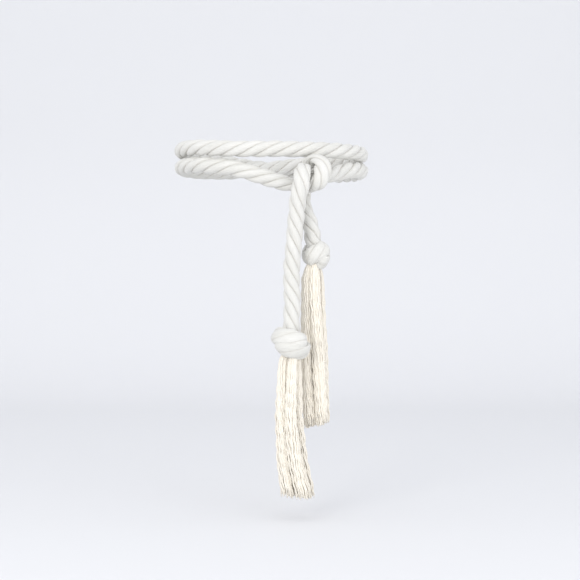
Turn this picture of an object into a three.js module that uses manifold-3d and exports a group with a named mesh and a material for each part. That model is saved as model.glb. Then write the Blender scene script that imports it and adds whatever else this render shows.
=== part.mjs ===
// Rope belt: one length of thick four-strand cotton rope. Its middle lies across the front of the waist,
// both ends go round the back, where they cross, come forward one rope lower, and are tied in a half knot
// at the front right. Each end hangs as a tail with an overhand stopper knot, and below the knot the rope
// is unlaid to a tassel. Millimetres, +Z up, +X to the wearer's left as seen from the front, -Y forward.
// The origin is the middle of the waist, at the height where the two laps meet.
import * as THREE from "three";
import { mergeVertices } from "three/addons/utils/BufferGeometryUtils.js";
import Module from "manifold-3d";

const wasm = await Module();
wasm.setup();

// The rope and its strands.
const ropeDiameter = 22;
const strandCount = 4;
const strandShare = 0.48; // strand radius as a share of the rope's radius
const strandFacets = 2; // pairs of facets on the outside of one strand
const waistLay = 88; // length in which a strand goes once round the rope, on the waist
const tailLay = 80; // the same in the tie and the tails, where the rope is twisted tighter
const ropeStep = 8.5; // distance between two sections of the rope

// The waist that the belt goes round, and the tie on the front of it.
const waistWidth = 226;
const waistDepth = 168;
const tieAcross = 44; // from the middle of the front to the middle of the tie
const tieCore = { forward: 0.75, up: -1.35 }; // the line round which the tie is wound, in rope diameters

// The tails, from the bottom of the tie to the top of their knots.
const longTailLength = 167;
const shortTailLength = 49;

// The stopper knots, over the outside of the knotted rope. drop and aside: from the tail's end to a knot's
// middle, down and towards +X.
const knotCordDiameter = 17; // the rope is drawn this thin in a tight knot
const longKnot = { width: 54, depth: 46, height: 39, hand: 1, drop: 22, aside: 0 };
const shortKnot = { width: 39, depth: 40, height: 39, hand: -1, drop: 22, aside: 4 };
const knotFacets = 4; // pairs of facets round a knotted rope
const knotStep = 5;
const knotLead = 3; // straight run where the rope enters and leaves a knot

// The tassels, from the bottom of the knot to the longest yarn's end. neck is the width where they leave
// the knot, and the head is fused there as a short round body. Every other size of a lock is a share of
// these.
const longTassel = { length: 184, neck: 20, headWidth: 27, endWidth: 42, lean: 9, locks: 9 };
const shortTassel = { length: 204, neck: 19, headWidth: 25, endWidth: 34, lean: 3, locks: 9 };
const lockShare = 0.5; // a lock's width as a share of the head's
const lockSwell = 1.1; // how much wider a lock is at its end
const lockWave = 0.35; // how far a lock waves sideways, as a share of its radius
const lockUneven = [1, 0.9, 0.95]; // the locks' lengths in turn, as shares of the tassel's
const lockFalls = [0, 0.15, 0.35, 0.55, 0.8, 1]; // where a lock's points lie, as shares of its length
const lockFacets = 3; // pairs of facets round a lock
const lockSteps = 7;

const pieceGap = 0.3; // between two pieces of the belt that touch
const facetTolerance = 0.25; // how far a fused piece's facets may lie from its true surface

// The laps on the waist, from the front left, round the back, across the front and round the back again.
// turn: degrees round the waist from the middle of the front, positive to +X. up and out: rope diameters
// above the middle of the waist and out from its surface line.
const laps = [
  { turn: -7, up: -1.36, out: 0 },
  { turn: -21, up: -0.93, out: 0 },
  { turn: -36, up: -0.72, out: 0 },
  { turn: -54, up: -0.53, out: 0 },
  { turn: -72, up: -0.48, out: 0 },
  { turn: -90, up: -0.45, out: 0 },
  { turn: -108, up: -0.44, out: 0 },
  { turn: -126, up: -0.41, out: 0 },
  { turn: -144, up: -0.34, out: 0 },
  { turn: -162, up: -0.19, out: 0 },
  { turn: -180, up: 0, out: 0 },
  { turn: -198, up: 0.19, out: 0 },
  { turn: -216, up: 0.32, out: 0 },
  { turn: -234, up: 0.38, out: 0 },
  { turn: -252, up: 0.38, out: 0 },
  { turn: -270, up: 0.36, out: 0 },
  { turn: -288, up: 0.33, out: 0 },
  { turn: -306, up: 0.29, out: 0 },
  { turn: -324, up: 0.25, out: 0 },
  { turn: -342, up: 0.23, out: 0 },
  { turn: -360, up: 0.23, out: 0 },
  { turn: -378, up: 0.25, out: 0 },
  { turn: -396, up: 0.37, out: 0 },
  { turn: -414, up: 0.53, out: 0 },
  { turn: -432, up: 0.6, out: 0 },
  { turn: -450, up: 0.62, out: 0 },
  { turn: -468, up: 0.62, out: 0 },
  { turn: -486, up: 0.6, out: 0.22 },
  { turn: -504, up: 0.48, out: 0.6 },
  { turn: -522, up: 0.26, out: 0.92 },
  { turn: -540, up: 0, out: 1.03 },
  { turn: -558, up: -0.26, out: 0.95 },
  { turn: -576, up: -0.47, out: 0.68 },
  { turn: -594, up: -0.61, out: 0.3 },
  { turn: -612, up: -0.66, out: 0.05 },
  { turn: -630, up: -0.66, out: 0 },
  { turn: -648, up: -0.72, out: 0 },
  { turn: -664, up: -0.88, out: 0 },
  { turn: -677, up: -1.13, out: 0 },
];

// The tie and the tails are routes laid by hand. across, forward and up are rope diameters from the tie's
// middle on the front of the waist. The tie presses the rope flat round a line across its core: grip is the
// share of its thickness that the rope keeps along that line, and press the share of this that it keeps
// away from it. The short tail's end goes up behind, over the other end as the loop, and off to the left.
const loop = [
  { across: 0, forward: 0, up: -2.86, grip: 0.85, press: 0.95 },
  { across: 0, forward: -0.25, up: -2.27, grip: 0.83, press: 0.85 },
  { across: 0, forward: -0.29, up: -1.68, grip: 0.83, press: 0.8 },
  { across: 0.1, forward: -0.2, up: -1.1, grip: 0.9, press: 0.75 },
  { across: 0.35, forward: 0.08, up: -0.66, grip: 0.95, press: 0.7 },
  { across: 0.66, forward: 0.43, up: -0.48, grip: 1, press: 0.66 },
  { across: 0.96, forward: 0.9, up: -0.62, grip: 1.02, press: 0.68 },
  { across: 1.08, forward: 1.24, up: -1.02, grip: 1.02, press: 0.68 },
  { across: 1.04, forward: 1.32, up: -1.48, grip: 1.02, press: 0.68 },
  { across: 0.84, forward: 1.22, up: -1.9, grip: 1, press: 0.68 },
  { across: 0.45, forward: 0.9, up: -2.15, grip: 0.92, press: 0.66 },
  { across: 0, forward: 0.62, up: -2.15, grip: 0.92, press: 0.66 },
  { across: -0.5, forward: 0.47, up: -2.02, grip: 0.97, press: 0.72 },
  { across: -1.1, forward: 0.33, up: -1.87, grip: 1, press: 0.9 },
  { across: -1.8, forward: 0.14, up: -1.65, grip: 1, press: 1 },
];
// The other end comes from the right behind the loop, through it, and over its shoulder to the long tail.
const shoulder = [
  { across: 1.33, forward: -0.5, up: -1.28, grip: 0.95, press: 0.9 },
  { across: 1, forward: -0.06, up: -1.32, grip: 0.9, press: 0.75 },
  { across: 0.68, forward: 0.35, up: -1.28, grip: 0.9, press: 0.66 },
  { across: 0.34, forward: 0.64, up: -1.18, grip: 0.88, press: 0.66 },
  { across: 0.06, forward: 0.99, up: -1.08, grip: 0.93, press: 0.7 },
  { across: -0.08, forward: 1.34, up: -1.2, grip: 0.98, press: 0.75 },
  { across: -0.13, forward: 1.56, up: -1.55, grip: 1.04, press: 0.75 },
  { across: -0.18, forward: 1.65, up: -2, grip: 1.07, press: 0.8 },
  { across: -0.26, forward: 1.67, up: -2.38, grip: 1.06, press: 0.88 },
  { across: -0.33, forward: 1.64, up: -2.68, grip: 1.03, press: 0.95 },
];
// The tails: fall is the share of the tail's length below the bottom of the tie.
const shortTail = [
  { across: 0.5, forward: 0.3, fall: 1, grip: 1, press: 1 },
  { across: 0.5, forward: 0.3, fall: 0.9, grip: 1, press: 1 },
  { across: 0.36, forward: 0.33, fall: 0.65, grip: 1, press: 1 },
  { across: 0.19, forward: 0.3, fall: 0.42, grip: 0.95, press: 1 },
  { across: 0.06, forward: 0.2, fall: 0.21, grip: 0.88, press: 1 },
];
const longTail = [
  { across: -0.4, forward: 1.52, fall: 0.07, grip: 1, press: 1 },
  { across: -0.5, forward: 1.37, fall: 0.21, grip: 1, press: 1 },
  { across: -0.63, forward: 1.32, fall: 0.42, grip: 1, press: 1 },
  { across: -0.74, forward: 1.41, fall: 0.61, grip: 1, press: 1 },
  { across: -0.69, forward: 1.55, fall: 0.82, grip: 1, press: 1 },
  { across: -0.74, forward: 1.64, fall: 0.96, grip: 1, press: 1 },
  { across: -0.74, forward: 1.64, fall: 1, grip: 1, press: 1 },
];

// One tight overhand knot, seen from the front: the rope comes down the middle, crosses the front from the
// left to the lower right, goes round the back to the upper left, crosses the front again above, and leaves
// through the middle. Each column is a share of the half width, half depth and half height of the rope's
// line in the knot.
const overhand = [
  { across: -0.1, back: 0.1, up: 0.7 },
  { across: -0.5, back: -0.1, up: 0.3 },
  { across: -0.7, back: -0.6, up: -0.1 },
  { across: -0.4, back: -0.9, up: -0.5 },
  { across: 0.1, back: -1, up: -0.8 },
  { across: 0.6, back: -0.6, up: -0.95 },
  { across: 0.9, back: 0, up: -0.95 },
  { across: 0.8, back: 0.6, up: -0.7 },
  { across: 0.3, back: 1, up: -0.2 },
  { across: -0.3, back: 1, up: 0.3 },
  { across: -0.8, back: 0.8, up: 0.7 },
  { across: -1, back: 0.2, up: 0.95 },
  { across: -0.9, back: -0.4, up: 0.95 },
  { across: -0.4, back: -0.9, up: 0.8 },
  { across: 0.1, back: -1, up: 0.45 },
  { across: 0.45, back: -0.6, up: 0 },
  { across: 0.2, back: -0.1, up: -0.4 },
  { across: 0, back: 0, up: -0.75 },
];

const ropeRadius = ropeDiameter / 2;
const ringWidth = waistWidth / 2 + ropeRadius;
const ringDepth = waistDepth / 2 + ropeRadius;

function ropeMaterial() {
  return new THREE.MeshStandardMaterial({ color: 0xe9e4d4, roughness: 0.9, metalness: 0 });
}

function yarnMaterial() {
  return new THREE.MeshStandardMaterial({ color: 0xe8dcbf, roughness: 0.95, metalness: 0 });
}

// A point of a lap, out from the ellipse that the rope's middle follows round the waist.
function lapPoint({ turn, up, out }) {
  const angle = THREE.MathUtils.degToRad(turn);
  const outward = out * ropeDiameter;
  return new THREE.Vector3(
    (ringWidth + outward) * Math.sin(angle),
    -(ringDepth + outward) * Math.cos(angle),
    up * ropeDiameter,
  );
}

function tiePoint({ across, forward, up }) {
  return new THREE.Vector3(
    tieAcross + across * ropeDiameter,
    -ringDepth - forward * ropeDiameter,
    up * ropeDiameter,
  );
}

function tailPoint(row, top, length) {
  const point = tiePoint({ ...row, up: 0 });
  point.z = top - row.fall * length;
  return point;
}

// The whole rope as stations: where its middle runs, how much of its thickness it keeps both ways, and its
// lay.
function ropeRoute() {
  const loopBottom = tiePoint(loop[0]).z;
  const shoulderBottom = tiePoint(shoulder.at(-1)).z;
  return [
    ...shortTail.map((row) => ({
      point: tailPoint(row, loopBottom, shortTailLength),
      grip: row.grip,
      press: row.press,
      lay: tailLay,
    })),
    ...loop.map((row) => ({ point: tiePoint(row), grip: row.grip, press: row.press, lay: tailLay })),
    ...laps.map((row) => ({ point: lapPoint(row), grip: 1, press: 1, lay: waistLay })),
    ...shoulder.map((row) => ({ point: tiePoint(row), grip: row.grip, press: row.press, lay: tailLay })),
    ...longTail.map((row) => ({
      point: tailPoint(row, shoulderBottom, longTailLength),
      grip: row.grip,
      press: row.press,
      lay: tailLay,
    })),
  ];
}

// The value of a column at a place on the curve through the stations, place running from 0 to 1.
function between(stations, column, place) {
  const along = place * (stations.length - 1);
  const before = Math.min(Math.floor(along), stations.length - 2);
  return THREE.MathUtils.lerp(stations[before][column], stations[before + 1][column], along - before);
}

// Bends a straight extrusion onto a curve. section(i) gives the turn and the scale of its i-th
// cross-section, and the share press of its size that it keeps along the direction pressed.
function bendOnto(straight, length, steps, curve, section) {
  const frames = curve.computeFrenetFrames(steps, false);
  const position = straight.getAttribute("position");
  const vertex = new THREE.Vector3();
  for (let i = 0; i < position.count; i += 1) {
    vertex.fromBufferAttribute(position, i);
    const step = Math.round((vertex.z / length) * steps);
    const { turn, scale, press = 1, pressed } = section(step);
    const sideways = scale * (vertex.x * Math.cos(turn) - vertex.y * Math.sin(turn));
    const upright = scale * (vertex.x * Math.sin(turn) + vertex.y * Math.cos(turn));
    vertex
      .set(0, 0, 0)
      .addScaledVector(frames.normals[step], sideways)
      .addScaledVector(frames.binormals[step], upright);
    if (pressed) {
      const flat = pressed.clone().projectOnPlane(frames.tangents[step]).normalize();
      vertex.addScaledVector(flat, (press - 1) * vertex.dot(flat));
    }
    vertex.add(curve.getPointAt(step / steps));
    position.setXYZ(i, vertex.x, vertex.y, vertex.z);
  }
  straight.computeVertexNormals();
  return straight;
}

// The rope's cross-section: the outer arcs of its strands, each from one groove to the next.
function strandSection() {
  const strandRadius = strandShare * ropeRadius;
  const strandOut = ropeRadius - strandRadius;
  const halfTurn = Math.PI / strandCount;
  const grooveRadius =
    strandOut * Math.cos(halfTurn) + Math.sqrt(strandRadius ** 2 - (strandOut * Math.sin(halfTurn)) ** 2);
  const reach = Math.atan2(
    grooveRadius * Math.sin(halfTurn),
    grooveRadius * Math.cos(halfTurn) - strandOut,
  );
  const section = new THREE.Shape();
  for (let strand = 0; strand < strandCount; strand += 1) {
    const out = 2 * halfTurn * strand;
    section.absarc(
      strandOut * Math.cos(out),
      strandOut * Math.sin(out),
      strandRadius,
      out - reach,
      out + reach,
    );
  }
  return section;
}

function ropeGeometry() {
  const stations = ropeRoute();
  const curve = new THREE.CatmullRomCurve3(stations.map(({ point }) => point), false, "centripetal");
  curve.arcLengthDivisions = 40 * stations.length;
  const length = curve.getLength();
  const steps = Math.round(length / ropeStep);
  const turns = [0];
  for (let i = 1; i <= steps; i += 1) {
    const lay = between(stations, "lay", curve.getUtoTmapping(i / steps));
    turns.push(turns[i - 1] - (2 * Math.PI * length) / steps / lay);
  }
  const straight = new THREE.ExtrudeGeometry(strandSection(), {
    depth: length,
    steps,
    curveSegments: strandFacets,
    bevelEnabled: false,
  });
  const core = tiePoint({ across: 0, ...tieCore });
  return bendOnto(straight, length, steps, curve, (i) => {
    const place = curve.getUtoTmapping(i / steps);
    return {
      turn: turns[i],
      scale: between(stations, "grip", place),
      press: between(stations, "press", place),
      pressed: curve.getPointAt(i / steps).sub(core).setX(0),
    };
  });
}

// A round body along points, its radius given at each end and eased between them.
function tube(points, startRadius, endRadius, facets, stepLength) {
  const curve = new THREE.CatmullRomCurve3(points, false, "centripetal");
  const length = curve.getLength();
  const steps = Math.max(3, Math.round(length / stepLength));
  const round = new THREE.Shape();
  round.absarc(0, 0, 1, 0, 2 * Math.PI);
  const straight = new THREE.ExtrudeGeometry(round, {
    depth: length,
    steps,
    curveSegments: facets,
    bevelEnabled: false,
  });
  return bendOnto(straight, length, steps, curve, (i) => ({
    turn: 0,
    scale: THREE.MathUtils.lerp(startRadius, endRadius, i / steps),
  }));
}

function solidOf(geometry) {
  const bare = geometry.clone();
  bare.deleteAttribute("normal");
  bare.deleteAttribute("uv");
  const merged = mergeVertices(bare, 1e-4);
  return new wasm.Manifold(
    new wasm.Mesh({
      numProp: 3,
      vertProperties: new Float32Array(merged.getAttribute("position").array),
      triVerts: new Uint32Array(merged.index.array),
    }),
  );
}

// The surface of a fused solid without the slivers that tight bends leave, and without needless facets.
function geometryOf(solid) {
  const bodies = solid.simplify(facetTolerance).decompose();
  const [body] = bodies.sort((a, b) => b.volume() - a.volume());
  const { vertProperties, triVerts } = body.getMesh();
  const geometry = new THREE.BufferGeometry();
  geometry.setAttribute("position", new THREE.BufferAttribute(vertProperties, 3));
  geometry.setIndex(new THREE.BufferAttribute(triVerts, 1));
  geometry.computeVertexNormals();
  return geometry;
}

// The middle of a knot below the end of its tail, and the place where the tassel hangs from it.
function knotMiddle(tailEnd, { drop, aside }) {
  return new THREE.Vector3(tailEnd.x + aside, tailEnd.y, tailEnd.z - drop);
}

function knotBottom(middle, { height }) {
  return new THREE.Vector3(middle.x, middle.y, middle.z - height / 2);
}

// A stopper knot: the rope's run through it, cut in stretches that overlap and are fused, as its turns are
// pressed together in the real knot.
function knotGeometry(tailEnd, size) {
  const middle = knotMiddle(tailEnd, size);
  const cordRadius = knotCordDiameter / 2;
  const run = overhand.map(
    ({ across, back, up }) =>
      new THREE.Vector3(
        middle.x + size.hand * across * (size.width / 2 - cordRadius),
        middle.y + back * (size.depth / 2 - cordRadius),
        middle.z + up * (size.height / 2 - cordRadius),
      ),
  );
  const entry = tailEnd.clone().setZ(tailEnd.z - pieceGap);
  const exit = knotBottom(middle, size);
  run.unshift(entry, entry.clone().setZ(entry.z - knotLead));
  run.push(exit.clone().setZ(exit.z + knotLead), exit);
  const stretches = [
    [0, 6],
    [5, 11],
    [10, 16],
    [15, run.length - 1],
  ];
  let knot;
  for (const [first, last] of stretches) {
    const startRadius = first === 0 ? ropeRadius : cordRadius;
    const stretch = solidOf(tube(run.slice(first, last + 1), startRadius, cordRadius, knotFacets, knotStep));
    knot = knot ? knot.add(stretch) : stretch;
  }
  return geometryOf(knot);
}

// A tassel: locks of unlaid yarn fused to the round head that leaves the knot. The locks stand in a ring
// round a middle one, hang down with a slight wave, spread to the tassel's end and lean to one side with
// it.
function tasselGeometry(top, { length, neck, headWidth, endWidth, lean, locks }) {
  const headRadius = headWidth / 2;
  const lockRadius = headRadius * lockShare;
  const start = top.z - pieceGap;
  const head = [top.clone().setZ(start), top.clone().setZ(start - headRadius)];
  let tassel = solidOf(tube(head, neck / 2, headRadius, knotFacets, headRadius));
  const ring = locks - 1;
  for (let i = 0; i < locks; i += 1) {
    const middle = i === ring;
    const angle = (2 * Math.PI * i) / ring;
    const topOut = middle ? 0 : headRadius - lockRadius;
    const endOut = middle ? 0 : endWidth / 2 - lockRadius * lockSwell;
    const wave = middle ? 0 : lockRadius * lockWave;
    const lockTop = start - headRadius / 2;
    const reach = lockUneven[i % lockUneven.length] * length - headRadius / 2;
    const points = lockFalls.map((fall) => {
      const out = THREE.MathUtils.lerp(topOut, endOut, fall) + wave * Math.sin(3 * Math.PI * fall + 2 * i);
      return new THREE.Vector3(
        top.x + lean * fall * fall + out * Math.cos(angle),
        top.y + out * Math.sin(angle),
        lockTop - fall * reach,
      );
    });
    const lock = tube(points, lockRadius, lockRadius * lockSwell, lockFacets, length / lockSteps);
    tassel = tassel.add(solidOf(lock));
  }
  return geometryOf(tassel);
}

function named(name, geometry, material) {
  const mesh = new THREE.Mesh(geometry, material);
  mesh.name = name;
  return mesh;
}

const route = ropeRoute();
const shortEnd = route[0].point;
const longEnd = route.at(-1).point;

const belt = new THREE.Group();
belt.name = "rope_belt";
belt.add(named("rope", ropeGeometry(), ropeMaterial()));
belt.add(named("long_tail_knot", knotGeometry(longEnd, longKnot), ropeMaterial()));
belt.add(named("short_tail_knot", knotGeometry(shortEnd, shortKnot), ropeMaterial()));
belt.add(
  named(
    "long_tassel",
    tasselGeometry(knotBottom(knotMiddle(longEnd, longKnot), longKnot), longTassel),
    yarnMaterial(),
  ),
);
belt.add(
  named(
    "short_tassel",
    tasselGeometry(knotBottom(knotMiddle(shortEnd, shortKnot), shortKnot), shortTassel),
    yarnMaterial(),
  ),
);

export default belt;
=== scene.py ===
import math

import bpy
import numpy as np
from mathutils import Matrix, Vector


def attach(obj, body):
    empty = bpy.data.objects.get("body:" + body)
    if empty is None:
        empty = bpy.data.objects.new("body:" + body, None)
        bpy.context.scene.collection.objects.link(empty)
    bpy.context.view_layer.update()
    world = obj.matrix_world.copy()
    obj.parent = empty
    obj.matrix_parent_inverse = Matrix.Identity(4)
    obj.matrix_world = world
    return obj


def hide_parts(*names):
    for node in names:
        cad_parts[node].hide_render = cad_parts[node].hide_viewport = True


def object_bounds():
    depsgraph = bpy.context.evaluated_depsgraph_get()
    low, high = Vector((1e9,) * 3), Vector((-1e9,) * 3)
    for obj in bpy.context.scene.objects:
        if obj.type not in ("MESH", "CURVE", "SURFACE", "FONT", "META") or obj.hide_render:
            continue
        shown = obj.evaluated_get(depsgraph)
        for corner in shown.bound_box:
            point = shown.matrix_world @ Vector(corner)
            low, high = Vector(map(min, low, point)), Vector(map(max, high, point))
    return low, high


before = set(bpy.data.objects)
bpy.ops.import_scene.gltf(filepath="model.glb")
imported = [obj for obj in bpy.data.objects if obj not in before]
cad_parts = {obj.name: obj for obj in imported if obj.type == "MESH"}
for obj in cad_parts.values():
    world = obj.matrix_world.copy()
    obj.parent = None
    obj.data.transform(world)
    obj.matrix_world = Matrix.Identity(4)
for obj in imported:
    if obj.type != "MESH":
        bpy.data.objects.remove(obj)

packed_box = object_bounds()

# The camera: level, in front of the belt and a little to the tie's side, at the height of the hanging
# tails, with a long lens that gives the photograph's flat perspective.
CAMERA_PLACE = (0.0258, -1.545, -0.180)
LENS_MM = 68.7
FILM_MM = 36.0
camera_data = bpy.data.cameras.new("camera")
camera_data.lens = LENS_MM
camera_data.sensor_width = FILM_MM
camera = bpy.data.objects.new("camera", camera_data)
camera.location = CAMERA_PLACE
camera.rotation_euler = (math.radians(90), 0.0, 0.0)
bpy.context.scene.collection.objects.link(camera)
bpy.context.scene.camera = camera


# The rope: one run of soft natural cotton, four strands laid to the left. Its middle lies across the front
# of the waist, both ends go round the back and cross there, and a half knot at the front right lets them
# down as tails.
# A lay is the length in which a strand goes once round the rope. The tie lies TIE_ACROSS to the right of the
# middle of the front, and its core is given forward and up in rope diameters. The tails go down to their
# knots.
ROPE = 0.022
STRANDS = 4
WAIST_LAY = 0.088
TAIL_LAY = 0.080
WAIST_WIDTH = 0.226
WAIST_DEPTH = 0.168
TIE_ACROSS = 0.044
TIE_CORE = (0.75, -1.35)
LONG_TAIL = 0.167
SHORT_TAIL = 0.049
ring_width = WAIST_WIDTH / 2 + ROPE / 2
ring_depth = WAIST_DEPTH / 2 + ROPE / 2

# The laps: degrees round the waist from the middle of the front, then rope diameters up and out.
LAPS = [
    (-7, -1.36, 0), (-21, -0.93, 0), (-36, -0.72, 0), (-54, -0.53, 0), (-72, -0.48, 0), (-90, -0.45, 0),
    (-108, -0.44, 0), (-126, -0.41, 0), (-144, -0.34, 0), (-162, -0.19, 0), (-180, 0, 0), (-198, 0.19, 0),
    (-216, 0.32, 0), (-234, 0.38, 0), (-252, 0.38, 0), (-270, 0.36, 0), (-288, 0.33, 0), (-306, 0.29, 0),
    (-324, 0.25, 0), (-342, 0.23, 0), (-360, 0.23, 0), (-378, 0.25, 0), (-396, 0.37, 0), (-414, 0.53, 0),
    (-432, 0.6, 0), (-450, 0.62, 0), (-468, 0.62, 0), (-486, 0.6, 0.22), (-504, 0.48, 0.6),
    (-522, 0.26, 0.92), (-540, 0, 1.03), (-558, -0.26, 0.95), (-576, -0.47, 0.68), (-594, -0.61, 0.3),
    (-612, -0.66, 0.05), (-630, -0.66, 0), (-648, -0.72, 0), (-664, -0.88, 0), (-677, -1.13, 0),
]
# The tie: rope diameters across, forward and up from its middle. It presses the rope flat round a line
# across its core, so that the rope keeps the share grip of its thickness along that line and press of this
# away from it.
LOOP = [
    (0, 0, -2.86, 0.85, 0.95), (0, -0.25, -2.27, 0.83, 0.85), (0, -0.29, -1.68, 0.83, 0.8),
    (0.1, -0.2, -1.1, 0.9, 0.75), (0.35, 0.08, -0.66, 0.95, 0.7), (0.66, 0.43, -0.48, 1, 0.66),
    (0.96, 0.9, -0.62, 1.02, 0.68), (1.08, 1.24, -1.02, 1.02, 0.68), (1.04, 1.32, -1.48, 1.02, 0.68),
    (0.84, 1.22, -1.9, 1, 0.68), (0.45, 0.9, -2.15, 0.92, 0.66), (0, 0.62, -2.15, 0.92, 0.66),
    (-0.5, 0.47, -2.02, 0.97, 0.72), (-1.1, 0.33, -1.87, 1, 0.9), (-1.8, 0.14, -1.65, 1, 1),
]
SHOULDER = [
    (1.33, -0.5, -1.28, 0.95, 0.9), (1, -0.06, -1.32, 0.9, 0.75), (0.68, 0.35, -1.28, 0.9, 0.66),
    (0.34, 0.64, -1.18, 0.88, 0.66), (0.06, 0.99, -1.08, 0.93, 0.7), (-0.08, 1.34, -1.2, 0.98, 0.75),
    (-0.13, 1.56, -1.55, 1.04, 0.75), (-0.18, 1.65, -2, 1.07, 0.8), (-0.26, 1.67, -2.38, 1.06, 0.88),
    (-0.33, 1.64, -2.68, 1.03, 0.95),
]
# The tails: across and forward as in the tie, the share of the tail's fall, then grip and press.
SHORT_FALL = [
    (0.5, 0.3, 1, 1, 1), (0.5, 0.3, 0.9, 1, 1), (0.36, 0.33, 0.65, 1, 1), (0.19, 0.3, 0.42, 0.95, 1),
    (0.06, 0.2, 0.21, 0.88, 1),
]
LONG_FALL = [
    (-0.4, 1.52, 0.07, 1, 1), (-0.5, 1.37, 0.21, 1, 1), (-0.63, 1.32, 0.42, 1, 1),
    (-0.74, 1.41, 0.61, 1, 1), (-0.69, 1.55, 0.82, 1, 1), (-0.74, 1.64, 0.96, 1, 1), (-0.74, 1.64, 1, 1, 1),
]


def on_lap(turn, up, out):
    angle = math.radians(turn)
    outward = out * ROPE
    across = (ring_width + outward) * math.sin(angle)
    return (across, -(ring_depth + outward) * math.cos(angle), up * ROPE)


def from_core(place):
    """The direction in which the tie presses the rope: square to the line across its core."""
    return (0.0, place[1] + ring_depth + TIE_CORE[0] * ROPE, place[2] - TIE_CORE[1] * ROPE)


def tie_stations(rows, top, unit):
    """Stations of the rope in the tie or a tail, at heights that count from top in the given unit."""
    stations = []
    for across, forward, height, grip, press in rows:
        place = (TIE_ACROSS + across * ROPE, -ring_depth - forward * ROPE, top + height * unit)
        stations.append((place, grip, press, TAIL_LAY, from_core(place)))
    return stations


rope_run = tie_stations(SHORT_FALL, LOOP[0][2] * ROPE, -SHORT_TAIL)
rope_run += tie_stations(LOOP, 0.0, ROPE)
rope_run += [(on_lap(*row), 1.0, 1.0, WAIST_LAY, (0.0, -1.0, 0.0)) for row in LAPS]
rope_run += tie_stations(SHOULDER, 0.0, ROPE)
rope_run += tie_stations(LONG_FALL, SHOULDER[-1][2] * ROPE, -LONG_TAIL)
short_end = np.array(rope_run[0][0])
long_end = np.array(rope_run[-1][0])

# Both stopper knots are made of the same rope, so their turns carry on its run. In a knot the rope is as
# thick as KNOT_CORD, its grip and press go over to KNOT_GRIP and KNOT_PRESS by the shares EASED_IN and back
# by EASED_OUT, its grooves close by the share KNOT_CLOSED, and it narrows where it leaves for the tassel.
KNOT_CORD = 0.017
KNOT_LEAD = 0.003
KNOT_GRIP = 1.04
KNOT_PRESS = 0.56
EASED_IN = [0.15, 0.4, 0.7]
EASED_OUT = [0.8, 0.5, 0.2]
KNOT_CLOSED = 0.5
KNOT_OUTLET = [0.85, 0.7, 0.6]
PRESSED_FROM = 0.1 * ROPE
# Width, depth and height over the outside, how far a knot's middle lies below and to the right of the end
# of the tail, and how far the tassel leaves it to the left of its middle. The turns are across, back and
# up, as shares of half the width, depth and height of the rope's line in the knot.
LONG_KNOT = dict(width=0.054, depth=0.046, height=0.039, drop=0.022, aside=0.0, outlet=0.001, turns=[
    (-0.1, 0.1, 0.7), (-0.5, -0.1, 0.3), (-0.7, -0.6, -0.1), (-0.4, -0.9, -0.5), (0.1, -1, -0.8),
    (0.6, -0.6, -0.95), (0.9, 0, -0.95), (0.8, 0.6, -0.7), (0.3, 1, -0.2), (-0.3, 1, 0.3), (-0.8, 0.8, 0.7),
    (-1, 0.2, 0.95), (-0.9, -0.4, 0.95), (-0.4, -0.9, 0.8), (0.1, -1, 0.6), (0.6, -0.8, 0.35),
    (0.75, -0.3, 0), (0.3, 0, -0.4), (0, 0, -0.75),
])
SHORT_KNOT = dict(width=0.039, depth=0.040, height=0.039, drop=0.022, aside=0.004, outlet=0.003, turns=[
    (0.1, 0.2, 0.6), (0.1, 0.1, 0.1), (0.35, -0.3, -0.4), (0.7, -0.65, -0.75), (1, -0.2, -0.8),
    (0.95, 0.4, -0.55), (0.5, 0.95, -0.3), (-0.2, 1, -0.1), (-0.8, 0.7, 0.15), (-0.85, 0.4, 0.6),
    (-0.3, 0.8, 0.9), (0.4, 0.75, 0.95), (0.85, 0.3, 0.9), (0.95, -0.3, 0.75), (0.65, -0.8, 0.5),
    (0.1, -1, 0.2), (-0.45, -0.95, -0.15), (-0.85, -0.55, -0.45), (-0.75, 0, -0.65), (-0.2, 0.1, -0.8),
])


def knot_run(tail_end, width, depth, height, drop, aside, outlet, turns):
    """The rope's run through a knot, from the end of its tail to the top of its tassel."""
    middle = tail_end + (aside, 0, -drop)
    bottom = middle - (outlet, 0, height / 2)
    half = np.array([width - KNOT_CORD, depth - KNOT_CORD, height - KNOT_CORD]) / 2
    points = [middle + half * row for row in np.array(turns)] + [bottom + (0, 0, KNOT_LEAD), bottom]
    eased = EASED_IN + [1] * (len(points) - len(EASED_IN) - len(EASED_OUT)) + EASED_OUT
    grips = [1 + (KNOT_GRIP - 1) * ease for ease in eased]
    grips[-len(KNOT_OUTLET):] = KNOT_OUTLET
    presses = [1 + (KNOT_PRESS - 1) * ease for ease in eased]
    # The knot presses the rope towards its middle, and where the rope runs straight down, from the front.
    front = np.array([0, PRESSED_FROM, 0])
    return [(tuple(point), grip, press, TAIL_LAY, tuple(point - middle - front))
            for point, grip, press in zip(points, grips, presses)]


CURVE_PARTS = 24


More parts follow.
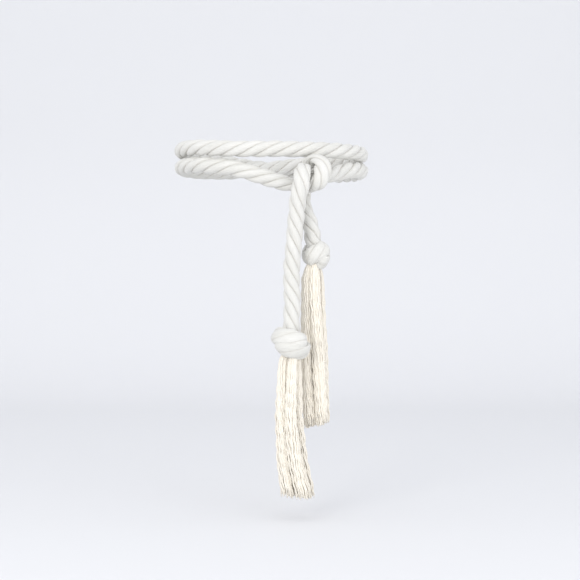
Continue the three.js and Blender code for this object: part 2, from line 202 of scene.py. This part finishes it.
def smooth_run(stations, step):
    """Rings a step apart on a smooth curve through the stations: their distances along it, places, grips,
    presses, turns of the lay and directions of pressing."""
    points = np.array([station[0] for station in stations])
    columns = np.array([station[1:4] + tuple(station[4]) for station in stations])
    points = np.vstack([2 * points[0] - points[1], points, 2 * points[-1] - points[-2]])
    places, values = [], []
    for i in range(1, len(points) - 2):
        p0, p1, p2, p3 = points[i - 1:i + 3]
        t1 = np.linalg.norm(p1 - p0) ** 0.5
        t2 = t1 + np.linalg.norm(p2 - p1) ** 0.5
        t3 = t2 + np.linalg.norm(p3 - p2) ** 0.5
        part = np.linspace(0, 1, CURVE_PARTS, endpoint=False)[:, None]
        t = t1 + (t2 - t1) * part
        a1 = (t1 - t) / t1 * p0 + t / t1 * p1
        a2 = (t2 - t) / (t2 - t1) * p1 + (t - t1) / (t2 - t1) * p2
        a3 = (t3 - t) / (t3 - t2) * p2 + (t - t2) / (t3 - t2) * p3
        b1 = (t2 - t) / t2 * a1 + t / t2 * a2
        b2 = (t3 - t) / (t3 - t1) * a2 + (t - t1) / (t3 - t1) * a3
        places.append((t2 - t) / (t2 - t1) * b1 + (t - t1) / (t2 - t1) * b2)
        values.append(columns[i - 1] * (1 - part) + columns[i] * part)
    places = np.vstack(places + [points[-2:-1]])
    values = np.vstack(values + [columns[-1:]])
    travelled = np.concatenate([[0], np.cumsum(np.linalg.norm(np.diff(places, axis=0), axis=1))])
    even = np.linspace(0, travelled[-1], round(travelled[-1] / step) + 1)
    places = np.stack([np.interp(even, travelled, places[:, k]) for k in range(3)], axis=1)
    grips, presses, lays, *direction = [np.interp(even, travelled, column) for column in values.T]
    turns = -2 * math.pi * np.concatenate([[0], np.cumsum(np.diff(even) / lays[1:])])
    return even, places, grips, presses, turns, np.stack(direction, axis=1)


def frames_along(places):
    """At each place the direction of the run, and two directions across it that follow it untwisted."""
    ahead = np.gradient(places, axis=0)
    ahead /= np.linalg.norm(ahead, axis=1)[:, None]
    side = np.cross(ahead[0], (0.0, 1.0, 0.0))
    sides = []
    for direction in ahead:
        side = side - direction * side.dot(direction)
        side = side / np.linalg.norm(side)
        sides.append(side)
    sides = np.array(sides)
    return ahead, sides, np.cross(ahead, sides)


# A strand's roundness and the groove between two strands, as shares of the rope's radius.
STRAND_ROUND = 0.57
GROOVE_WIDTH = 0.075
GROOVE_DEPTH = 0.075


def strand_outline(columns):
    """The rope's outline for one strand, from groove to groove, as shares of its radius."""
    out = 1 - STRAND_ROUND
    angle = math.pi / STRANDS * np.linspace(-1, 1, columns, endpoint=False)
    round_part = out * np.cos(angle) + np.sqrt(STRAND_ROUND**2 - (out * np.sin(angle)) ** 2)
    groove = np.exp(-(((np.abs(angle) - math.pi / STRANDS) / GROOVE_WIDTH) ** 2))
    return round_part - GROOVE_DEPTH * groove


def tube_faces(rings, around):
    """The faces between rings of points, and the ring and the column of each of their corners."""
    ring, column = np.meshgrid(np.arange(rings - 1), np.arange(around), indexing="ij")
    after = (column + 1) % around
    quads = np.stack([ring * around + column, ring * around + after,
                      (ring + 1) * around + after, (ring + 1) * around + column], axis=-1)
    lap = np.stack([ring, ring, ring + 1, ring + 1], axis=-1)
    edge = np.stack([column, column + 1, column + 1, column], axis=-1)
    return quads.reshape(-1, 4), lap.ravel(), edge.ravel()


def cotton_piece(name, corners, faces, run):
    """A smooth mesh in the scene, with a UV map of metres along the run and turns of a strand or yarn."""
    mesh = bpy.data.meshes.new(name)
    mesh.from_pydata(corners.tolist(), [], faces)
    layer = mesh.uv_layers.new(name="run")
    layer.uv.foreach_set("vector", run.astype(np.float32).ravel())
    mesh.polygons.foreach_set("use_smooth", [True] * len(mesh.polygons))
    piece = bpy.data.objects.new(name, mesh)
    bpy.context.scene.collection.objects.link(piece)
    return piece


def rope_skin(name, rings, distances):
    """A closed mesh round the rings of a stretch of rope."""
    count, around = rings.shape[:2]
    quads, lap, edge = tube_faces(count, around)
    # The two end faces have corners of their own, so that they don't tilt the shading of the last rings.
    corners = np.vstack([rings.reshape(-1, 3), rings[0], rings[-1]])
    faces = quads.tolist()
    faces.append(list(range((count + 1) * around - 1, count * around - 1, -1)))
    faces.append(list(range((count + 1) * around, (count + 2) * around)))
    run = np.zeros((edge.size + 2 * around, 2))
    run[:edge.size] = np.stack([distances[lap], edge * (STRANDS / around)], axis=1)
    return cotton_piece(name, corners, faces, run)


ROPE_RING = 0.0021
STRAND_COLUMNS = 20
# Each strand swells and slackens a little along the rope, out of step with its neighbours: the share, the
# metres along the rope and the step from strand to strand of two waves.
PLUMP = [(0.022, 0.0071, 2.3), (0.018, 0.0043, 4.1)]
whole_run = knot_run(short_end, **SHORT_KNOT)[::-1] + rope_run + knot_run(long_end, **LONG_KNOT)
along, places, grips, presses, turns, pressing = smooth_run(whole_run, ROPE_RING)
ahead, sides, ups = frames_along(places)
short_joint = int(np.argmin(np.linalg.norm(places - short_end, axis=1)))
long_joint = int(np.argmin(np.linalg.norm(places - long_end, axis=1)))
# In the knots the strands are squeezed into each other, so the grooves between them close up.
into_knot = np.maximum(along[short_joint] - along, along - along[long_joint])
knotted = np.clip(into_knot / ROPE, 0, 1)[:, None]
outline = np.tile(strand_outline(STRAND_COLUMNS), STRANDS)
outline = outline + (1 - outline) * KNOT_CLOSED * knotted
strand_number = np.repeat(np.arange(STRANDS), STRAND_COLUMNS)
plump = sum(share * np.sin(along[:, None] / wave + step * strand_number) for share, wave, step in PLUMP)
radii = ROPE / 2 * grips[:, None] * outline * (1 + plump * outline**4)
angles = turns[:, None] + 2 * math.pi * np.arange(len(strand_number)) / len(strand_number)
reach = np.cos(angles)[..., None] * sides[:, None] + np.sin(angles)[..., None] * ups[:, None]
reach *= radii[..., None]
pressing -= ahead * (pressing * ahead).sum(axis=1)[:, None]
pressing /= np.linalg.norm(pressing, axis=1)[:, None]
flattened = (reach * pressing[:, None]).sum(axis=2) * (presses - 1)[:, None]
rope_rings = places[:, None] + reach + flattened[..., None] * pressing[:, None]
rope = rope_skin("rope_laid", rope_rings[short_joint:long_joint + 1], along[short_joint:long_joint + 1])


class Wire:
    """What a node gives out. Arithmetic on it adds Math nodes, so that a finish reads as a formula."""

    def __init__(self, tree, socket):
        self.tree = tree
        self.socket = socket

    def node(self, kind, settings=None, inputs=None, out=0):
        """Adds a node of a kind, sets it, then gives its sockets their values or links."""
        made = self.tree.nodes.new(kind)
        for name, value in (settings or {}).items():
            if name == "stops":
                ramp = made.color_ramp.elements
                while len(ramp) < len(value):
                    ramp.new(0.5)
                for stop, (place, colour) in zip(ramp, value):
                    stop.position = place
                    stop.color = (*colour, 1.0)
            else:
                setattr(made, name, value)
        for name, value in (inputs or {}).items():
            if isinstance(value, Wire):
                self.tree.links.new(value.socket, made.inputs[name])
            else:
                made.inputs[name].default_value = value
        return Wire(self.tree, made.outputs[out])

    def maths(self, operation, *values):
        return self.node("ShaderNodeMath", {"operation": operation}, dict(enumerate(values or (self,))))

    def __add__(self, other):
        return self.maths("ADD", self, other)

    def __radd__(self, other):
        return self.maths("ADD", other, self)

    def __sub__(self, other):
        return self.maths("SUBTRACT", self, other)

    def __rsub__(self, other):
        return self.maths("SUBTRACT", other, self)

    def __mul__(self, other):
        return self.maths("MULTIPLY", self, other)

    def __rmul__(self, other):
        return self.maths("MULTIPLY", other, self)

    def __pow__(self, other):
        return self.maths("POWER", self, other)


# How many fibres and wisps of fibres there are to the metre and across a strand.
FIBRES = (130.0, 26.0)
WISPS = (38.0, 5.0)
RELIEF = 0.0007


def cotton(name, pale, dull, deep, groove_shade, yarns, yarn_slant):
    """Undyed cotton: fine fibres along the yarns, uneven whiteness, and painted shade where the strands meet.
    yarns is their number across a strand, and yarn_slant how many strands a yarn drifts across in a metre."""
    material = bpy.data.materials.new(name)
    material.use_nodes = True
    tree = material.node_tree
    tree.nodes.clear()
    start = Wire(tree, None)
    run = start.node("ShaderNodeUVMap", {"uv_map": "run"})
    metres = start.node("ShaderNodeSeparateXYZ", inputs={"Vector": run})
    turn = Wire(tree, metres.socket.node.outputs["Y"])
    lane = turn - metres * yarn_slant
    fibre_place = start.node("ShaderNodeCombineXYZ", inputs={"X": metres * FIBRES[0], "Y": lane * FIBRES[1]})
    fibres = start.node("ShaderNodeTexNoise", inputs={
        "Vector": fibre_place, "Scale": 1.0, "Detail": 5.0, "Roughness": 0.62,
    })
    wisp_place = start.node("ShaderNodeCombineXYZ", inputs={
        "X": metres * WISPS[0], "Y": lane * WISPS[1], "Z": 3.7,
    })
    wisps = start.node("ShaderNodeTexNoise", inputs={"Vector": wisp_place, "Scale": 1.0, "Detail": 3.0})
    yarn_round = (lane * (2 * math.pi * yarns) + wisps * 5.0).maths("SINE") * 0.5 + 0.5
    # Painted shade: towards the grooves between the strands, and along one side of each yarn, the colour goes
    # over to deep by the given share. This stands in for the shade that falls there.
    groove = ((turn.maths("FRACT") - 0.5).maths("ABSOLUTE") * 2.0) ** 9.0
    patches = start.node("ShaderNodeTexNoise", inputs={"Vector": wisp_place, "Scale": 0.35, "Detail": 2.0})
    whiteness = patches * 0.5 + fibres * 0.5
    body = start.node("ShaderNodeValToRGB", {"stops": [(0.34, dull), (0.66, pale)]}, {"Fac": whiteness})
    colour = start.node("ShaderNodeMix", {"data_type": "RGBA", "blend_type": "MIX"},
                        {0: groove * groove_shade, 6: body, 7: (*deep, 1.0)}, out=2)
    height = fibres * 0.5 + yarn_round * 0.5 + wisps * 0.35
    bump = start.node("ShaderNodeBump", inputs={"Strength": 0.6, "Distance": RELIEF, "Height": height})
    surface = start.node("ShaderNodeBsdfPrincipled", inputs={
        "Base Color": colour, "Roughness": 0.88, "Normal": bump, "Sheen Weight": 0.3,
        "Sheen Roughness": 0.5, "Specular IOR Level": 0.18,
    })
    output = tree.nodes.new("ShaderNodeOutputMaterial")
    tree.links.new(surface.socket, output.inputs["Surface"])
    return material


ROPE_COTTON = dict(pale=(0.71, 0.70, 0.665), dull=(0.63, 0.62, 0.575), yarns=7,
                   yarn_slant=0.35 * STRANDS / WAIST_LAY)
# The rope's grooves get painted shade in the colour deep.
rope.data.materials.append(cotton("rope_cotton", deep=(0.42, 0.38, 0.31), groove_shade=0.4, **ROPE_COTTON))
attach(rope, "root")
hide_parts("rope")


# The stopper knots: the rope's own ends, each tied in a tight overhand knot that keeps its tassel from
# slipping. The pull squeezes the rope to three quarters of its thickness and lays its turns close together.
short_knot = rope_skin("short_tail_knot_tied", rope_rings[:short_joint + 1], along[:short_joint + 1])
long_knot = rope_skin("long_tail_knot_tied", rope_rings[long_joint:], along[long_joint:])
# The knots' grooves get a weaker, browner painted shade than the rope's.
knot_cotton = cotton("knot_cotton", deep=(0.38, 0.33, 0.26), groove_shade=0.25, **ROPE_COTTON)
for knot, node in ((short_knot, "short_tail_knot"), (long_knot, "long_tail_knot")):
    knot.data.materials.append(knot_cotton)
    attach(knot, "root")
    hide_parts(node)

float(along[long_joint] - along[short_joint])


# The tassels: below each knot the rope is unlaid into its soft yarns, about sixty from each strand. They
# keep the crimp of the lay, hang in four locks with a dark gap between each two, and spread towards their
# cut ends. The tops of the yarns are tucked into the knot.
YARN = 0.0021
YARNS_OF_STRAND = 64
YARN_SIDES = 5
YARN_RINGS = 72
TUCKED = 0.010
YARN_UNEVEN = (0.85, 1.15)
YARN_SWELL = 0.1
# A lock's half width, as a share of the tassel's, in its upper part and at its end, how far the locks are
# turned round from the right, how far they wander and sway from there and twist, in radians, and the
# slow waves of that down the fall.
LOCK_FALLS = [0, 0.6, 1]
LOCK_ROUND = [0.39, 0.39, 0.42]
LOCKS_TURNED = math.radians(25)
LOCKS_WANDER = 0.15
LOCK_SWAY = 0.16
SWAY_WAVE = 5
LOCK_TWIST = 0.5
TWIST_WAVE = 3
# The yarns inside this share of a lock don't show one by one, so they are this much thicker and fill it.
INSIDE = 0.6
INNER_YARN = 1.6
# The length of a crimp, from the tightest to the loosest, how far out of step the yarns are, in radians, the
# crimp's size down the fall and how uneven it is, and a yarn's straying and its two slow waves.
CRIMP_LENGTHS = (0.0165, 0.0195)
CRIMP_SCATTER = 0.8
CRIMP_FALLS = [0, 0.06, 0.3, 1]
CRIMP_SIZES = [0, 0.00025, 0.0005, 0.0005]
CRIMP_UNEVEN = (0.6, 1.4)
STRAYING = 0.0005
STRAY_WAVES = (6, 5)
# Where the scissors went, as shares of the fringe, and how a yarn thins out at its cut end.
CUT_SHARES = (0.95, 0.99)
TAPER_FALLS = [0, 0.93, 1]
TAPER = [1, 1, 0.5]
# A fringe's length, how much more of it hangs at the right, and the form of the tassel: the share of the
# fall, the width and depth there, and how far it leans to the right.
LONG_TASSEL = dict(fringe=0.180, slant=0.008, seed=4, form=[
    (0, 0.014, 0.014, 0), (0.05, 0.026, 0.024, -0.0005), (0.1, 0.029, 0.027, -0.0015),
    (0.45, 0.036, 0.034, -0.0025), (0.75, 0.045, 0.038, 0.0021), (1, 0.048, 0.038, 0.0108),
])
SHORT_TASSEL = dict(fringe=0.206, slant=-0.018, seed=9, form=[
    (0, 0.014, 0.014, 0), (0.045, 0.025, 0.022, 0), (0.1, 0.033, 0.026, -0.0007),
    (0.4, 0.035, 0.027, -0.0002), (0.75, 0.037, 0.029, 0.002), (1, 0.037, 0.031, 0.0055),
])


def tassel_lines(top, fringe, slant, seed, form):
    """Lines and widths of a tassel's yarns, strand by strand, from inside the knot to their ends."""
    chance = np.random.default_rng(seed)
    falls, spans, deeps, leans = np.array(form).T
    fall = np.linspace(0, 1, YARN_RINGS)
    span = np.interp(fall, falls, spans) / 2
    deep = np.interp(fall, falls, deeps) / 2
    lean = np.interp(fall, falls, leans)
    lock_round = np.interp(fall, LOCK_FALLS, LOCK_ROUND)
    crimp_size = np.interp(fall, CRIMP_FALLS, CRIMP_SIZES)
    taper = np.interp(fall, TAPER_FALLS, TAPER)
    golden = math.pi * (3 - math.sqrt(5))
    lines, widths = [], []
    for strand in range(STRANDS):
        bearing = LOCKS_TURNED + 2 * math.pi * strand / STRANDS + chance.uniform(-LOCKS_WANDER, LOCKS_WANDER)
        swing = chance.uniform(0, 2 * math.pi)
        lock_bearing = bearing + LOCK_SWAY * np.sin(SWAY_WAVE * fall + swing)
        beat = chance.uniform(*CRIMP_LENGTHS)
        for yarn in range(YARNS_OF_STRAND):
            out = math.sqrt((yarn + 0.5) / YARNS_OF_STRAND)
            at = yarn * golden + LOCK_TWIST * np.sin(TWIST_WAVE * fall + swing)
            x = span * ((1 - lock_round) * np.cos(lock_bearing) + lock_round * out * np.cos(at))
            y = deep * ((1 - lock_round) * np.sin(lock_bearing) + lock_round * out * np.sin(at))
            crimp = 2 * math.pi * fall * fringe / beat + swing + chance.normal(0, CRIMP_SCATTER)
            size = crimp_size * chance.uniform(*CRIMP_UNEVEN)
            stray = chance.normal(0, STRAYING, 2)
            drift = chance.uniform(0, 2 * math.pi)
            x = x + size * np.cos(crimp) + stray[0] * np.sin(STRAY_WAVES[0] * fall + drift)
            y = y + size * np.sin(crimp) + stray[1] * np.cos(STRAY_WAVES[1] * fall + drift)
            cut = fringe * (chance.uniform(*CUT_SHARES) + slant * x[-1] / span[-1])
            drop = TUCKED - fall * (cut + TUCKED)
            lines.append(np.stack([top[0] + x + lean, top[1] + y, top[2] + drop], axis=1))
            thick = YARN / 2 * chance.uniform(*YARN_UNEVEN) * (INNER_YARN if out < INSIDE else 1)
            widths.append(thick * taper * (1 + YARN_SWELL * np.sin(1.7 * crimp)))
    return lines, widths


def yarn_tubes(name, lines, widths):
    """Joins one closed tube per line of points into a mesh."""
    corners, faces, run = [], [], []
    quads, lap, edge = tube_faces(YARN_RINGS, YARN_SIDES)
    bearing = 2 * math.pi * np.arange(YARN_SIDES) / YARN_SIDES
    for number, (line, width) in enumerate(zip(lines, widths)):
        _, across, above = frames_along(line)
        offsets = np.cos(bearing)[:, None] * across[:, None] + np.sin(bearing)[:, None] * above[:, None]
        corners.append((line[:, None] + offsets * width[:, None, None]).reshape(-1, 3))
        first = number * YARN_RINGS * YARN_SIDES
        last = first + (YARN_RINGS - 1) * YARN_SIDES
        faces += (quads + first).tolist()
        faces.append(list(range(first + YARN_SIDES - 1, first - 1, -1)))
        faces.append(list(range(last, last + YARN_SIDES)))
        # Each yarn's map starts somewhere else, so that no two yarns look alike.
        start = 0.731 * number
        travelled = np.concatenate([[0], np.cumsum(np.linalg.norm(np.diff(line, axis=0), axis=1))])
        run.append(np.stack([travelled[lap] + start, edge / YARN_SIDES + number], axis=1))
        run.append(np.tile([start, number + 0.5], (2 * YARN_SIDES, 1)))
    return cotton_piece(name, np.vstack(corners), faces, np.vstack(run))


# The yarns get a painted tan shade, in the colour deep, along one side of each yarn.
yarn_cotton = cotton("yarn_cotton", pale=(0.89, 0.843, 0.757), dull=(0.855, 0.798, 0.687),
                     deep=(0.79, 0.71, 0.57), groove_shade=0.4, yarns=2, yarn_slant=120.0)
for node, tail_end, knot, tassel in (
    ("long_tassel", long_end, LONG_KNOT, LONG_TASSEL),
    ("short_tassel", short_end, SHORT_KNOT, SHORT_TASSEL),
):
    top = tail_end + (knot["aside"] - knot["outlet"], 0, -knot["drop"] - knot["height"] / 2)
    yarns = yarn_tubes(node + "_yarns", *tassel_lines(top, **tassel))
    yarns.data.materials.append(yarn_cotton)
    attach(yarns, "root")
    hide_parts(node)


# The studio: one sheet of pale matt paper, the floor under the tassels, which curves up in a cove into a
# backdrop behind the belt.
FLOOR = packed_box[0][2] - 0.02
FLOOR_REACH = 14.0
COVE = 0.8
COVE_START = 1.2
BACKDROP_TOP = 7.0
sweep = [(-FLOOR_REACH, FLOOR), (COVE_START, FLOOR)]
for angle in np.linspace(0.1, math.pi / 2, 12):
    sweep.append((COVE_START + COVE * math.sin(angle), FLOOR + COVE - COVE * math.cos(angle)))
sweep.append((COVE_START + COVE, BACKDROP_TOP))
backdrop_mesh = bpy.data.meshes.new("backdrop")
backdrop_mesh.from_pydata([(x, y, z) for x in (-FLOOR_REACH, FLOOR_REACH) for y, z in sweep], [],
                          [(i, i + 1, i + 1 + len(sweep), i + len(sweep)) for i in range(len(sweep) - 1)])
backdrop_mesh.polygons.foreach_set("use_smooth", [True] * len(backdrop_mesh.polygons))
backdrop = bpy.data.objects.new("backdrop", backdrop_mesh)
bpy.context.scene.collection.objects.link(backdrop)
paper = bpy.data.materials.new("paper")
paper.use_nodes = True
paper.node_tree.nodes["Principled BSDF"].inputs["Base Color"].default_value = (0.76, 0.76, 0.765, 1.0)
paper.node_tree.nodes["Principled BSDF"].inputs["Roughness"].default_value = 0.9
backdrop.data.materials.append(paper)


# The light: a broad soft key from the front left and above, a fill as strong from the right, and a pale
# surround that lights every side.
LIT_PLACE = (0.0, 0.0, -0.2)


def soft_light(name, place, width, watts, colour):
    data = bpy.data.lights.new(name, "AREA")
    data.shape = "SQUARE"
    data.size = width
    data.energy = watts
    data.color = colour
    light = bpy.data.objects.new(name, data)
    light.location = place
    aim = np.array(LIT_PLACE) - np.array(place)
    tilt = math.atan2(math.hypot(aim[0], aim[1]), -aim[2])
    light.rotation_euler = (tilt, 0.0, math.atan2(aim[0], -aim[1]) + math.pi)
    bpy.context.scene.collection.objects.link(light)


soft_light("key", place=(-1.0, -1.9, 0.45), width=1.0, watts=14.5, colour=(1.0, 0.985, 0.965))
soft_light("fill", place=(1.3, -1.5, -0.3), width=1.2, watts=15.5, colour=(0.98, 0.985, 1.0))
world = bpy.data.worlds.new("surround")
world.use_nodes = True
world.node_tree.nodes["Background"].inputs["Color"].default_value = (0.93, 0.95, 1.0, 1.0)
world.node_tree.nodes["Background"].inputs["Strength"].default_value = 1.15
bpy.context.scene.world = world
bpy.context.scene.view_settings.view_transform = "Standard"
